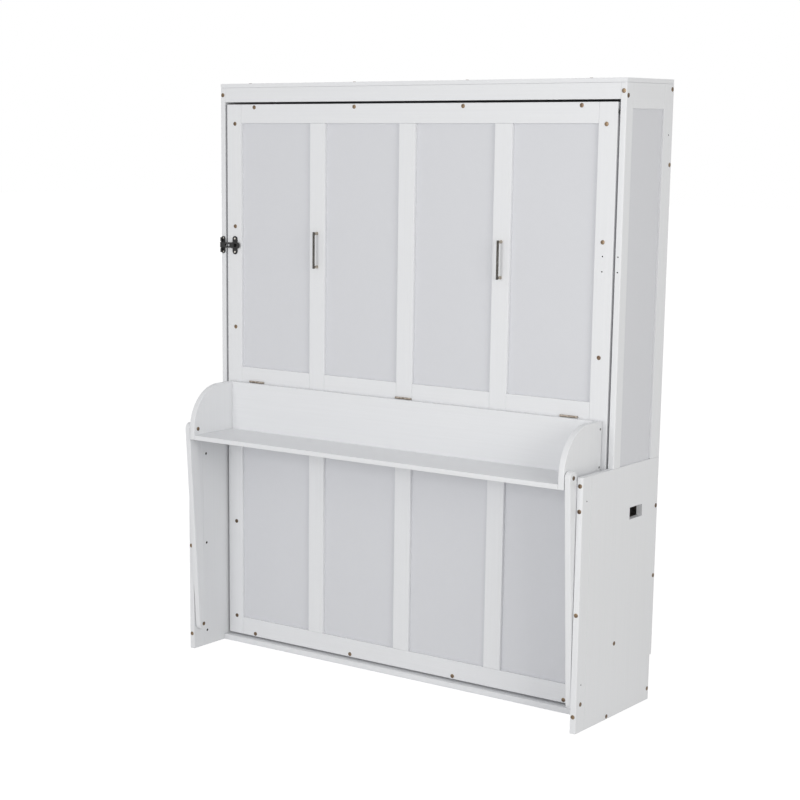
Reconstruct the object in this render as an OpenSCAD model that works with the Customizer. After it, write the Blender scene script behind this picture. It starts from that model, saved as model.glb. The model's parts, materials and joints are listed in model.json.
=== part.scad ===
// Upright wall bed with a level-hanging desk on its face.
//
// The bed turns forward about two pivot bolts low in the side panels. The desk hangs from the bed's face
// on three butt hinges, and two swing arms tie its ends to the side panels. Bed pivot to desk hinge and
// arm pivot to arm top are the same vector, so the desk stays level and ends up under the lowered bed.
//
// x runs along the wall, y runs from the room (minus) to the wall (plus) with 0 in the plane of the
// bed's face, and z is up from the floor. All sizes are in millimetres.

/* [Room for the mattress] */
// Clear width between the bed's side boards
mattress_w = 1576; // [1400:2:1960]
// Clear length between the bed's end boards
mattress_l = 2033; // [1950:1:2180]
// Depth of the boards round the mattress
box_depth = 100; // [80:1:102]

/* [Cabinet] */
// Gap between the bed's side boards and the cabinet's sides
side_gap = 38; // [32:1:50]
// Depth from the bed's face to the wall
cab_d = 330; // [324:2:400]
// Thickness of the sawn boards
board_t = 22; // [20:1:24]
// Thickness of the top board
top_t = 15; // [12:1:25]
// Height of the front header between the posts
header_h = 54; // [48:1:70]
// Depth of the upper front posts
post_d = 46; // [40:1:60]
// Width of the upper rear stiles
rear_stile_w = 65; // [55:1:80]
// Height of the rail across the top of each side
side_rail_h = 84; // [78:1:100]
// Thickness of the thin infill sheets
sheet_t = 5; // [3:0.5:6]
// How deep a sheet enters the grooves round it
groove_depth = 6; // [4:0.5:8]
// How far the side sheets lie inside the outer faces
side_inset = 7; // [5:0.5:9]

/* [Lower sides] */
// Height of the lower side panels
lower_h = 887; // [860:1:900]
// How far the lower sides stand out in front of the bed
lower_out = 205; // [200:1:220]
// Width of the stile along the front of each lower side
lower_stile_w = 60; // [50:1:70]
// Height of the notch for the room's skirting board
notch_h = 165; // [100:5:200]
// Depth of that notch
notch_d = 12; // [8:1:14]
// Width of the cable opening in the right side
cable_w = 90; // [60:5:110]
// Height of the cable opening
cable_h = 42; // [30:1:60]
// Middle of the cable opening, back from the bed's face
cable_y = 172; // [160:1:200]
// Middle of the cable opening, above the floor
cable_z = 714; // [600:1:740]

/* [Rails across the cabinet] */
// Width of the sticks that the rails and the face frame are sawn from
stick_w = 70; // [65:1:74]
// How far the base board stands out in front of the bed
base_out = 22; // [18:1:26]
// Gap between the floor and the bottom back rail
back_rail_lift = 7; // [5:1:20]
// Middle of the lowest plain back rail
low_rail_z = 459; // [400:1:500]
// Middle of the back rail behind the cable opening
mid_rail_z = 713; // [660:1:760]
// Middle of the upper back rail
high_rail_z = 1899; // [1800:1:1950]
// Half the distance between the wall screws
wall_hole_x = 500; // [400:10:700]
// Radius of the wall screw holes
wall_hole_r = 4; // [3:0.5:5]

/* [Bed frame] */
// Gap between the bed's face and each side
bed_side_gap = 9; // [9:0.5:10]
// Height of the bed's lower edge
bed_bottom = 30; // [30:1:40]
// Gap between the bed's upper edge and the header
bed_top_gap = 8; // [6:1:12]
// Height of the mid rail that shows above the desk
mid_rail_show = 59; // [50:1:80]
// Height of the mid rail that the desk hides
mid_rail_hidden = 55; // [45:1:80]
// How far the infill sheets lie behind the face
face_inset = 12; // [9:0.5:14]
// Depth of the strips that carry the slats
ledger_d = 18; // [15:1:22]
// Thickness of the slats
slat_t = 15; // [12:1:18]
// Distance from an end board to the middle of the slat next to it
slat_margin = 100; // [80:1:140]
// Number of slats
slat_count = 13; // [11:1:13]

/* [Desk] */
// Height of the desk's upper edge above the floor
desk_top = 1049; // [1040:1:1060]
// Height of the desk's ends
desk_h = 203; // [195:1:204]
// Depth from the bed's face to the desk's front edge
desk_d = 250; // [250:1:270]
// Thickness of the shelf that is the desk's top
shelf_t = 18; // [16:1:20]
// Radius of the rounded front corner of the ends
end_r = 160; // [120:1:180]
// Gap between a desk end and the swing arm beside it
arm_gap = 2; // [2:0.2:3]
// Height of the glides under the ends
glide_h = 6; // [4:0.5:6]
// Radius of the glides
glide_r = 9; // [6:0.5:10]
// Distance from an end's front or rear edge to the glide under it
glide_inset = 40; // [30:1:60]

/* [Linkage] */
// Bed pivot, back from the bed's face
pivot_y = 48; // [46:1:52]
// Bed pivot, above the floor
pivot_z = 266; // [266:1:268]
// Lower arm pivot, in front of the bed's face
arm_out = 175; // [173:1:177]
// Lower arm pivot, above the floor
arm_z = 100; // [90:1:104]
// Width of the swing arms
arm_w = 45; // [40:1:46]
// Radius of the pivot bolts' shanks
pivot_r = 6; // [5:0.5:8]
// Radius of the arm bolts' shanks
arm_bolt_r = 4; // [3:0.5:5]
// Radial clearance of a shank in its bore
run_fit = 0.05; // [0.02:0.01:0.09]

/* [Hinges] */
// Length of each butt hinge
hinge_l = 70; // [60:1:80]
// Middle of the outer hinges
hinge_x = 692; // [600:1:700]
// Radius of the hinge knuckles
knuckle_r = 3.5; // [3:0.1:4]
// Thickness of a hinge leaf
leaf_t = 1.1; // [0.8:0.1:1.2]
// Height of a hinge leaf below the knuckles
leaf_h = 24; // [18:1:30]
// Radius of the hinge pins
hinge_pin_r = 1.5; // [1.2:0.1:1.8]

/* [Handles] */
// Middle of the handles, above the floor
handle_z = 1573; // [1500:1:1650]
// Length of a handle
handle_l = 136; // [100:1:160]
// Distance from the face to the front of a handle
handle_out = 24; // [20:1:35]
// Width of the handle's bar
handle_w = 8; // [6:0.5:12]
// Thickness of the handle's bar
handle_t = 6; // [4:0.5:8]
// Radius of the handle's feet
handle_foot_r = 6; // [4:0.5:7]

/* [Latch] */
// Middle of the latch, above the floor
latch_z = 1576; // [1560:1:1590]
// Middle of the keeper plate, in from the cabinet's side
keeper_in = 70; // [66:1:74]
// Half the height of the plate on the post
hasp_half = 33; // [30:1:36]
// Half the height of the keeper plate
keeper_half = 35; // [32:1:40]
// Thickness of the plates
plate_t = 3; // [2:0.5:4]
// Width of the loop's bars, seen from the front
loop_bar = 5.6; // [4:0.2:6]
// Thickness of the loop
loop_t = 6; // [4:0.5:7]
// Half the height of the slot in the loop's link
loop_narrow = 4.4; // [3:0.1:4.6]
// Half the height of the eye that drops over the knob
loop_wide = 6.4; // [6.2:0.1:7]

/* [Bolts] */
// Radius of the connector bolts' heads
head_r = 7.5; // [6:0.5:8]
// Height of those heads
head_t = 1.5; // [1:0.1:1.8]
// Radius of the connector bolts' shanks
bolt_r = 3; // [2.5:0.1:3.5]
// Depth of a connector bolt's grip in the second piece
bolt_grip = 30; // [20:1:40]
// Radius of the barrel nuts
nut_r = 5; // [4.5:0.1:6]
// Distance from the front edge to the barrel nuts
nut_back = 79; // [74:1:90]
// Radius of the small pilot holes
pilot_r = 2.5; // [1.5:0.1:3]
// Radius of the desk screws' shanks
desk_screw_r = 2; // [1.5:0.1:2.5]
// Radius of the desk screws' heads
desk_screw_head_r = 4; // [3:0.1:5]

/* [Hidden] */
$fn = 48;

white = [0.87, 0.87, 0.88];
grey = [0.80, 0.81, 0.83];
pine = [0.85, 0.74, 0.55];
brass = [0.62, 0.47, 0.28];
steel = [0.55, 0.54, 0.52];
black = [0.05, 0.05, 0.05];

// Overlap of two shapes that are fused, or overshoot of a cut past the face that it opens
lap = 1;
// Slack of a sheet in its groove, and of parts that only touch
slack = 0.2;

// Boards round the mattress, across the bed
box_in = mattress_w / 2;
box_out = box_in + board_t;
box_mid = box_in + board_t / 2;

// Cabinet planes, built out from the mattress
side_in = box_out + side_gap;
side_out = side_in + board_t;
bed_top = bed_bottom + mattress_l + 2 * board_t;
header_z = bed_top + bed_top_gap;
under_top = header_z + header_h;
cab_h = under_top + top_t;
header_bolt_z = header_z + 12;
back_front = cab_d - board_t;
sheet_y = back_front - sheet_t;
notch_y = cab_d - notch_d;
stile_back = -lower_out + lower_stile_w;
stile_mid = -lower_out + lower_stile_w / 2;
side_sheet_x = side_out - side_inset - sheet_t;
edge_x = side_out - board_t / 2;

// Bed planes
bed_x = side_in - bed_side_gap;
box_back = board_t + box_depth;
stick_in = bed_x - stick_w;
pane_w = (2 * stick_in - 3 * stick_w) / 4;
mullion_x = pane_w + stick_w;
face_top = bed_top - stick_w;
face_low = bed_bottom + stick_w;
mid_top = desk_top + mid_rail_show;
mid_low = desk_top - mid_rail_hidden;
slat_y = board_t + ledger_d;
slat_z = bed_bottom + board_t + slat_margin;
slat_pitch = (mattress_l - 2 * slat_margin) / (slat_count - 1);

// Hinge axis of the desk, just in front of the bed's face and just above the desk
leaf_gap = 2 * leaf_t + slack;
hinge_y = -knuckle_r - slack / 2;
hinge_z = desk_top + knuckle_r + slack * 2;

// Desk planes
arm_out_x = side_in - arm_gap;
arm_in_x = arm_out_x - board_t;
desk_x = arm_in_x - arm_gap;
end_in = desk_x - board_t;
desk_low = desk_top - desk_h;
desk_rear = -leaf_gap;
back_board_y = desk_rear - board_t;
shelf_top = desk_low + shelf_t;

// Screws through the desk's ends into the back board
desk_screw_rise = 45;
desk_screw_drop = 27;
desk_screw_z = [desk_low + desk_screw_rise, desk_top - desk_screw_drop];
desk_screw_y = back_board_y + board_t / 2;
desk_screw_l = board_t + bolt_grip;
desk_screw_head_t = 0.6;

// The arms repeat the vector from the bed pivot to the desk hinge
swing_y = hinge_y - pivot_y;
swing_z = hinge_z - pivot_z;
arm_y = -arm_out;
arm_top_y = arm_y + swing_y;
arm_top_z = arm_z + swing_z;
washer_r = arm_bolt_r + 5.6;

// Rows of connector bolts on the bed's face
face_bolt_inset = 72;
face_bolt_low = bed_bottom + face_bolt_inset;
face_bolt_high = bed_top - face_bolt_inset;
face_bolt_rows = 6;
row_step = (face_bolt_high - face_bolt_low) / (face_bolt_rows - 1);
face_bolt_z = [for (i = [0 : face_bolt_rows - 1]) face_bolt_low + i * row_step];
end_bolt_x = [box_mid * 0.294, box_mid * 0.881];

// Bolts up the front edge of each lower side: three at even steps and one near the top
stile_bolt_low = 60;
stile_bolt_drop = 115;
stile_bolt_top_drop = 29;
stile_bolt_third = lower_h - stile_bolt_drop;
stile_bolt_top = lower_h - stile_bolt_top_drop;
stile_bolt_z = [stile_bolt_low, (stile_bolt_low + stile_bolt_third) / 2, stile_bolt_third, stile_bolt_top];

// Pilot holes in the sides
pilot_depth = 12;
pilot_drop = 83;
pilot_high = lower_h - pilot_drop;
pilot_low = 169;
pilot_rear_rise = 30;
pilot_rear_z = high_rail_z + stick_w + pilot_rear_rise;
pilot_rear_y = 27;

// Pad in the gap beside the bed
buffer_r = 9;
buffer_out = 2.5;
buffer_drop = 33;
buffer_z = bed_top - buffer_drop;

// Back rails: lower edge, y of the front face, and height of the bolt in each end
back_rail_list = [
    [back_rail_lift, notch_y - board_t, back_rail_lift + stick_w / 2],
    [low_rail_z - stick_w / 2, back_front, low_rail_z],
    [mid_rail_z - stick_w / 2, back_front, mid_rail_z],
    [high_rail_z - stick_w / 2, back_front, high_rail_z],
    [under_top - stick_w, back_front, under_top - 18]
];
back_sheet_count = 3;
back_sheet_low = low_rail_z - stick_w / 2;

// Screws down through the top board into the header
top_screw_x = [side_out * 0.279, side_out * 0.84];
top_screw_r = 4;
top_screw_l = 30;

// Latch places
hasp_x = edge_x;
hinge_barrel_r = 5;
barrel_x = side_out - 7;
barrel_y = -9;
barrel_half = 10.5;
latch_pin_r = 2;
keeper_x = side_out - keeper_in;
keeper_w = 24;
hasp_w = 20;
hasp_screw_x = hasp_x - 1;
plate_barrel_r = 4;
plate_barrel_from = barrel_half + 3.3;
plate_barrel_to = hasp_half - 4.4;
knob_x = keeper_x - 3;
knob_neck_r = 3.5;
knob_r = 5.8;
knob_t = 7;
knob_y = barrel_y - loop_t / 2 - 3;
latch_screw = 25.5;
latch_screw_r = 3.5;
latch_screw_l = 12;

// The loop along x: the boss on the pin, the slot in the link, the eye round the knob, the thumb end
boss_r = barrel_half;
boss_x = barrel_x + 4 - boss_r;
slot_from = boss_x - boss_r - 3;
slot_to = knob_x + 22;
eye_from = knob_x + 1;
eye_to = knob_x - 7;
link_end = slot_to - 1;
eye_start = knob_x + 9;
thumb_x = knob_x - 13;

// ---------------------------------------------------------------- shared shapes

// A board given by its two corners
module board(low, high) {
    translate(low) cube(high - low);
}

// The same thing on both sides of the middle
module both_sides() {
    children();
    mirror([1, 0, 0]) children();
}

// A round rod along an axis, from one end to the other
module rod_x(r, from, to, y, z) {
    translate([from, y, z]) rotate([0, 90, 0]) cylinder(r = r, h = to - from);
}
module rod_y(r, from, to, x, z) {
    translate([x, from, z]) rotate([-90, 0, 0]) cylinder(r = r, h = to - from);
}
module rod_z(r, from, to, x, y) {
    translate([x, y, from]) cylinder(r = r, h = to - from);
}

// A low button head with a hexagonal socket. It sits on z = 0 and looks along +z
module bolt_head(r = head_r) {
    difference() {
        union() {
            cylinder(r = r, h = head_t * 0.6);
            translate([0, 0, head_t * 0.6]) cylinder(r1 = r, r2 = r - head_t, h = head_t * 0.4, $fn = 48);
        }
        translate([0, 0, head_t * 0.3]) cylinder(r = r * 0.42, h = head_t, $fn = 6);
    }
}

// A connector bolt that enters a face looking along -y
module front_bolt(x, z, face, length) {
    translate([x, face, z]) rotate([90, 0, 0]) bolt_head();
    rod_y(bolt_r, face, face + length, x, z);
}

// A connector bolt that enters the outer face of the right side
module side_bolt(y, z, length) {
    translate([side_out, y, z]) rotate([0, 90, 0]) bolt_head();
    rod_x(bolt_r, side_out - length, side_out, y, z);
}

// ---------------------------------------------------------------- places that repeat

// The shanks that cross the joint between a side and the rails, as cuts
module frame_bolt_cuts() {
    both_sides() {
        side_length = board_t + bolt_grip + slack;
        rod_x(bolt_r, side_out - side_length, side_out + lap, board_t / 2, header_bolt_z);
        rod_x(bolt_r, side_out - side_length, side_out + lap, board_t / 2, board_t / 2);
        for (rail = back_rail_list)
            rod_x(bolt_r, side_out - side_length, side_out + lap, rail[1] + board_t / 2, rail[2]);
    }
}

// The bolts from the front of each post into the rail across the top of the side
module post_bolt_cuts() {
    both_sides() rod_y(bolt_r, -lap, post_d + bolt_grip + slack, edge_x, header_z + header_h / 2);
}

// The bolts up the front edge of each lower side, and the barrel nuts that they pull on
module stile_bolt_cuts() {
    both_sides()
        for (z = stile_bolt_z) {
            rod_y(bolt_r, -lower_out - lap, -lower_out + nut_back + nut_r + 1, edge_x, z);
            rod_x(nut_r, side_in - lap, side_out - 5, -lower_out + nut_back, z);
        }
}

// Every bolt that goes through the bed's face into the boards round the mattress
module face_bolt_cuts() {
    depth = board_t + bolt_grip + slack;
    both_sides() {
        for (z = face_bolt_z) rod_y(bolt_r, -lap, depth, box_mid, z);
        for (x = end_bolt_x) {
            rod_y(bolt_r, -lap, depth, x, bed_top - board_t / 2);
            rod_y(bolt_r, -lap, depth, x, bed_bottom + board_t / 2);
        }
    }
}

module top_screw_cuts() {
    both_sides()
        for (x = top_screw_x) rod_z(top_screw_r * 0.6, under_top - top_screw_l, cab_h + lap, x, board_t / 2);
}

// Small drilled holes in the sides that nothing is screwed into
module pilot_holes() {
    both_sides() {
        rod_x(pilot_r, side_out - pilot_depth, side_out + lap, stile_mid, pilot_high);
        rod_x(pilot_r, side_out - pilot_depth, side_out + lap, stile_mid, pilot_low);
        rod_x(pilot_r, side_out - pilot_depth, side_out + lap, cab_d - pilot_rear_y, pilot_rear_z);
    }
}

// Holes for a latch's screws. The right side has them too, for a second latch
module latch_screw_holes() {
    for (z = [latch_z - latch_screw, latch_z + latch_screw])
        for (x = [keeper_x, hasp_screw_x]) rod_y(pilot_r, -lap, latch_screw_l, x, z);
}

// ---------------------------------------------------------------- cabinet

module top_board() {
    color(white) difference() {
        board([-side_out, 0, under_top], [side_out, cab_d, cab_h]);
        top_screw_cuts();
    }
}

module header_rail() {
    color(white) difference() {
        board([-side_in, 0, header_z], [side_in, board_t, under_top]);
        frame_bolt_cuts();
        top_screw_cuts();
    }
}

// The thin sheet in the upper right side. A groove is the same sheet, a little thicker
module side_sheet(grow = 0) {
    board([side_sheet_x - grow, post_d - groove_depth, lower_h],
          [side_sheet_x + sheet_t + grow, cab_d - rear_stile_w + groove_depth,
           under_top - side_rail_h + groove_depth]);
}

module front_post() {
    difference() {
        board([side_in, 0, lower_h], [side_out, post_d, under_top]);
        side_sheet(slack);
        frame_bolt_cuts();
        post_bolt_cuts();
        latch_screw_holes();
    }
}
module left_front_post() { color(white) mirror([1, 0, 0]) front_post(); }
module right_front_post() { color(white) front_post(); }

module rear_stile() {
    difference() {
        board([side_in, cab_d - rear_stile_w, lower_h], [side_out, cab_d, under_top]);
        side_sheet(slack);
        frame_bolt_cuts();
        pilot_holes();
    }
}
module left_rear_stile() { color(white) mirror([1, 0, 0]) rear_stile(); }
module right_rear_stile() { color(white) rear_stile(); }

module side_top_rails() {
    color(white) both_sides() difference() {
        board([side_in, post_d, under_top - side_rail_h], [side_out, cab_d - rear_stile_w, under_top]);
        side_sheet(slack);
        post_bolt_cuts();
    }
}

module side_sheets() { color(grey) both_sides() side_sheet(); }

// ---------------------------------------------------------------- lower sides

module lower_stile() {
    difference() {
        board([side_in, -lower_out, 0], [side_out, stile_back, lower_h]);
        stile_bolt_cuts();
        rod_x(arm_bolt_r, side_in - lap, side_out + lap, arm_y, arm_z);
        pilot_holes();
    }
}
module left_lower_stile() { color(white) mirror([1, 0, 0]) lower_stile(); }
module right_lower_stile() { color(white) lower_stile(); }

// The wide panel behind the stile, notched at the back for the skirting board
module lower_panel() {
    difference() {
        translate([side_in, 0, 0]) rotate([90, 0, 90]) linear_extrude(board_t)
            polygon([[stile_back, 0], [notch_y, 0], [notch_y, notch_h], [cab_d, notch_h],
                     [cab_d, lower_h], [stile_back, lower_h]]);
        stile_bolt_cuts();
        frame_bolt_cuts();
        rod_x(pivot_r, side_in - lap, side_out + lap, pivot_y, pivot_z);
    }
}
module left_lower_panel() { color(white) mirror([1, 0, 0]) lower_panel(); }
module right_lower_panel() {
    color(white) difference() {
        lower_panel();
        board([side_in - lap, cable_y - cable_w / 2, cable_z - cable_h / 2],
              [side_out + lap, cable_y + cable_w / 2, cable_z + cable_h / 2]);
    }
}

module base_board() {
    color(white) difference() {
        board([-side_in, -base_out, 0], [side_in, stick_w - base_out, board_t]);
        frame_bolt_cuts();
    }
}

// ---------------------------------------------------------------- back

// Holes for the screws that tie the two upper back rails to the wall
module wall_holes() {
    both_sides()
        for (z = [high_rail_z, under_top - stick_w / 2])
            rod_y(wall_hole_r, sheet_y - lap, cab_d + lap, wall_hole_x, z);
}

module back_rails() {
    color(white) difference() {
        for (rail = back_rail_list)
            board([-side_in, rail[1], rail[0]], [side_in, rail[1] + board_t, rail[0] + stick_w]);
        frame_bolt_cuts();
        wall_holes();
    }
}

// Thin sheets in front of the rails. They end above the foot of the bed, which swings back there
module back_sheets() {
    sheet_w = 2 * side_in / back_sheet_count;
    color(grey) difference() {
        for (i = [0 : back_sheet_count - 1])
            board([-side_in + i * sheet_w + slack, sheet_y, back_sheet_low],
                  [-side_in + (i + 1) * sheet_w - slack, back_front, under_top - slack]);
        wall_holes();
    }
}

// ---------------------------------------------------------------- cabinet fasteners

module top_board_screws() {
    color(brass) both_sides()
        for (x = top_screw_x) {
            translate([x, board_t / 2, cab_h]) bolt_head(top_screw_r * 1.5);
            rod_z(top_screw_r * 0.6, under_top - top_screw_l + slack, cab_h, x, board_t / 2);
        }
}

module frame_bolts() {
    color(brass) both_sides() {
        front_bolt(edge_x, header_z + header_h / 2, 0, post_d + bolt_grip);
        side_bolt(board_t / 2, header_bolt_z, board_t + bolt_grip);
        side_bolt(board_t / 2, board_t / 2, board_t + bolt_grip);
        for (rail = back_rail_list) side_bolt(rail[1] + board_t / 2, rail[2], board_t + bolt_grip);
    }
}

module stile_bolts() {
    color(brass) both_sides()
        for (z = stile_bolt_z) front_bolt(edge_x, z, -lower_out, nut_back - nut_r);
}

// Barrel nuts, set a little below the inner faces of the lower sides
module barrel_nuts() {
    color(steel) both_sides()
        for (z = stile_bolt_z) rod_x(nut_r, side_in + 2, side_out - 6, -lower_out + nut_back, z);
}

// ---------------------------------------------------------------- pivots on the cabinet

module bed_pivot_bolts() {
    color(brass) both_sides() {
        translate([side_out, pivot_y, pivot_z]) rotate([0, 90, 0]) bolt_head();
        rod_x(pivot_r, box_in, side_out, pivot_y, pivot_z);
    }
}

// Sleeves that hold the bed's sides off the cabinet's sides
module pivot_spacers() {
    color(steel) both_sides() difference() {
        rod_x(pivot_r + 8, box_out + 2 + 2 * slack, side_in, pivot_y, pivot_z);
        rod_x(pivot_r, box_out, side_out, pivot_y, pivot_z);
    }
}

// Bolts that the arms swing on, with a cap on the inner end
module arm_pivot_bolts() {
    color(brass) both_sides() {
        translate([side_out, arm_y, arm_z]) rotate([0, 90, 0]) bolt_head();
        rod_x(arm_bolt_r, arm_in_x - slack, side_out, arm_y, arm_z);
        translate([arm_in_x - slack, arm_y, arm_z]) rotate([0, -90, 0]) bolt_head();
    }
}

// Washers between the lower ends of the arms and the sides
module arm_washers() {
    color(steel) both_sides() difference() {
        rod_x(washer_r, arm_out_x + slack, side_in, arm_y, arm_z);
        rod_x(arm_bolt_r, arm_out_x, side_in + lap, arm_y, arm_z);
    }
}

// Soft pad on the right post that the closed bed settles against, across from the latch
module gap_buffer() {
    color(black) rod_x(buffer_r, bed_x + buffer_out, side_in, board_t / 2, buffer_z);
}

// ---------------------------------------------------------------- latch

// A plate with round ends, standing on the face
module round_plate(x, w, half) {
    union() {
        board([x - w / 2, -plate_t, latch_z - half + w / 2], [x + w / 2, 0, latch_z + half - w / 2]);
        for (s = [-1, 1]) rod_y(w / 2, -plate_t, 0, x, latch_z + s * (half - w / 2));
    }
}

// Holes and screws of a plate
module plate_holes(x) {
    for (s = [-1, 1]) rod_y(pilot_r, -plate_t - lap, lap, x, latch_z + s * latch_screw);
}
module plate_screws(x) {
    for (s = [-1, 1]) {
        z = latch_z + s * latch_screw;
        rod_y(pilot_r, -plate_t, latch_screw_l - slack, x, z);
        rod_y(latch_screw_r, -plate_t - lap, -plate_t, x, z);
    }
}
module hasp_screws() { color(steel) mirror([1, 0, 0]) plate_screws(hasp_screw_x); }
module keeper_screws() { color(steel) mirror([1, 0, 0]) plate_screws(keeper_x); }

// Plate on the left post, with the two barrels and the pin that carry the loop
module latch_hasp_plate() {
    pin_half = plate_barrel_from + lap;
    long = plate_barrel_to - plate_barrel_from;
    color(black) mirror([1, 0, 0]) {
        difference() {
            round_plate(hasp_x, hasp_w, hasp_half);
            plate_holes(hasp_screw_x);
        }
        for (low = [latch_z + plate_barrel_from, latch_z - plate_barrel_to]) {
            rod_z(plate_barrel_r, low, low + long, barrel_x, barrel_y);
            board([barrel_x - lap, barrel_y, low],
                  [barrel_x + plate_barrel_r, -lap, low + long]);
        }
        rod_z(latch_pin_r, latch_z - pin_half, latch_z + pin_half, barrel_x, barrel_y);
    }
}

// Outline of the loop seen from the front: a boss, a link and a wider end that is round
module loop_outline() {
    narrow = loop_narrow + loop_bar;
    wide = loop_wide + loop_bar;
    union() {
        translate([boss_x, 0]) circle(r = boss_r);
        polygon([[boss_x, -narrow], [link_end, -narrow], [eye_start, -wide], [thumb_x, -wide],
                 [thumb_x, wide], [eye_start, wide], [link_end, narrow], [boss_x, narrow]]);
        translate([thumb_x, 0]) circle(r = wide);
    }
}

// A slot with round ends, given by the middles of its ends
module round_slot(from, to, half) {
    union() {
        translate([to, -half]) square([from - to, 2 * half]);
        for (x = [from, to]) translate([x, 0]) circle(r = half);
    }
}

// The swinging loop: a hub on the pin, a slotted link and an eye that drops over the knob
module latch_loop() {
    color(black) mirror([1, 0, 0]) translate([0, barrel_y, latch_z]) difference() {
        union() {
            rod_z(hinge_barrel_r, -barrel_half, barrel_half, barrel_x, 0);
            translate([0, loop_t / 2, 0]) rotate([90, 0, 0]) linear_extrude(loop_t) loop_outline();
        }
        translate([0, hinge_barrel_r, 0]) rotate([90, 0, 0]) linear_extrude(2 * hinge_barrel_r) {
            round_slot(slot_from - loop_narrow, slot_to + loop_narrow, loop_narrow);
            round_slot(eye_from, eye_to, loop_wide);
        }
        rod_z(latch_pin_r + run_fit, -barrel_half - lap, barrel_half + lap, barrel_x, 0);
    }
}

// Plate on the bed with the knob that the loop drops over
module latch_keeper() {
    color(black) mirror([1, 0, 0]) {
        difference() {
            round_plate(keeper_x, keeper_w, keeper_half);
            plate_holes(keeper_x);
        }
        rod_y(knob_neck_r, knob_y, -lap, knob_x, latch_z);
        rod_y(knob_r, knob_y - knob_t, knob_y, knob_x, latch_z);
    }
}

// ---------------------------------------------------------------- bed face

// Edges of the four columns of infill sheets
column_edges = [[-stick_in, -mullion_x - stick_w / 2], [-mullion_x + stick_w / 2, -stick_w / 2],
                [stick_w / 2, mullion_x - stick_w / 2], [mullion_x + stick_w / 2, stick_in]];

// One row of four sheets. Grown, they are the grooves that hold them
module sheet_row(low, high, grow = 0) {
    for (edge = column_edges)
        board([edge[0] - groove_depth, face_inset - grow, low - groove_depth],
              [edge[1] + groove_depth, face_inset + sheet_t + grow, high + groove_depth]);
}
module upper_bed_sheets() { color(grey) sheet_row(mid_top, face_top); }
module lower_bed_sheets() { color(grey) sheet_row(face_low, mid_low); }
module face_grooves() {
    sheet_row(mid_top, face_top, slack);
    sheet_row(face_low, mid_low, slack);
}

module bed_stile() {
    difference() {
        board([stick_in, 0, bed_bottom], [bed_x, board_t, bed_top]);
        face_grooves();
        face_bolt_cuts();
        latch_screw_holes();
    }
}
module left_bed_stile() { color(white) mirror([1, 0, 0]) bed_stile(); }
module right_bed_stile() { color(white) bed_stile(); }

module cross_rail(low, high) {
    difference() {
        board([-stick_in, 0, low], [stick_in, board_t, high]);
        face_grooves();
        face_bolt_cuts();
    }
}
module bed_top_rail() { color(white) cross_rail(face_top, bed_top); }
module bed_bottom_rail() { color(white) cross_rail(bed_bottom, face_low); }

module bed_mullions() {
    color(white) difference() {
        for (x = [-mullion_x, 0, mullion_x])
            board([x - stick_w / 2, 0, face_low], [x + stick_w / 2, board_t, face_top]);
        face_grooves();
    }
}

module bed_mid_rails() {
    color(white) difference() {
        for (edge = column_edges) board([edge[0], 0, mid_low], [edge[1], board_t, mid_top]);
        face_grooves();
    }
}

// ---------------------------------------------------------------- boards round the mattress

module bed_side() {
    difference() {
        board([box_in, board_t, bed_bottom + board_t], [box_out, box_back, bed_top - board_t]);
        face_bolt_cuts();
        rod_x(pivot_r + 4, box_in - lap, box_out + lap, pivot_y, pivot_z);
    }
}
module left_bed_side() { color(white) mirror([1, 0, 0]) bed_side(); }
module right_bed_side() { color(white) bed_side(); }

module end_board(low) {
    difference() {
        board([-box_out, board_t, low], [box_out, box_back, low + board_t]);
        face_bolt_cuts();
    }
}
module bed_head_board() { color(white) end_board(bed_top - board_t); }
module bed_foot_board() { color(white) end_board(bed_bottom); }

// Strips that the slats lie on: one along each side board and one up the middle
module slat_ledgers() {
    low = bed_bottom + board_t;
    high = bed_top - board_t;
    color(pine) {
        both_sides() board([box_in - board_t, board_t, low], [box_in, slat_y, high]);
        board([-stick_w / 2, board_t, low], [stick_w / 2, slat_y, high]);
    }
}

module bed_slats() {
    color(pine)
        for (i = [0 : slat_count - 1]) {
            middle = slat_z + i * slat_pitch;
            board([-box_in + 1, slat_y, middle - stick_w / 2],
                  [box_in - 1, slat_y + slat_t, middle + stick_w / 2]);
        }
}

module bed_face_bolts() {
    color(brass) both_sides() {
        length = board_t + bolt_grip;
        for (z = face_bolt_z) front_bolt(box_mid, z, 0, length);
        for (x = end_bolt_x) {
            front_bolt(x, bed_top - board_t / 2, 0, length);
            front_bolt(x, bed_bottom + board_t / 2, 0, length);
        }
    }
}

// Flanged bushes in the bed's side boards, running on the pivot bolts
module pivot_bushes() {
    color(steel) both_sides() difference() {
        union() {
            rod_x(pivot_r + 4, box_in, box_out + lap, pivot_y, pivot_z);
            rod_x(pivot_r + 8, box_out, box_out + 2, pivot_y, pivot_z);
        }
        rod_x(pivot_r + run_fit, box_in - lap, box_out + 2 + lap, pivot_y, pivot_z);
    }
}

// ---------------------------------------------------------------- handles

module handle_bars() {
    color(black) both_sides()
        board([mullion_x - handle_w / 2, -handle_out, handle_z - handle_l / 2],
              [mullion_x + handle_w / 2, -handle_out + handle_t, handle_z + handle_l / 2]);
}

module handle_feet() {
    color(brass) both_sides()
        for (s = [-1, 1])
            rod_y(handle_foot_r, -handle_out + handle_t, 0, mullion_x,
                  handle_z + s * (handle_l / 2 - handle_foot_r));
}

// ---------------------------------------------------------------- hinges of the desk

knuckles = 5;
knuckle_l = hinge_l / knuckles;
leaf_top = hinge_z - knuckle_r - slack;

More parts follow.
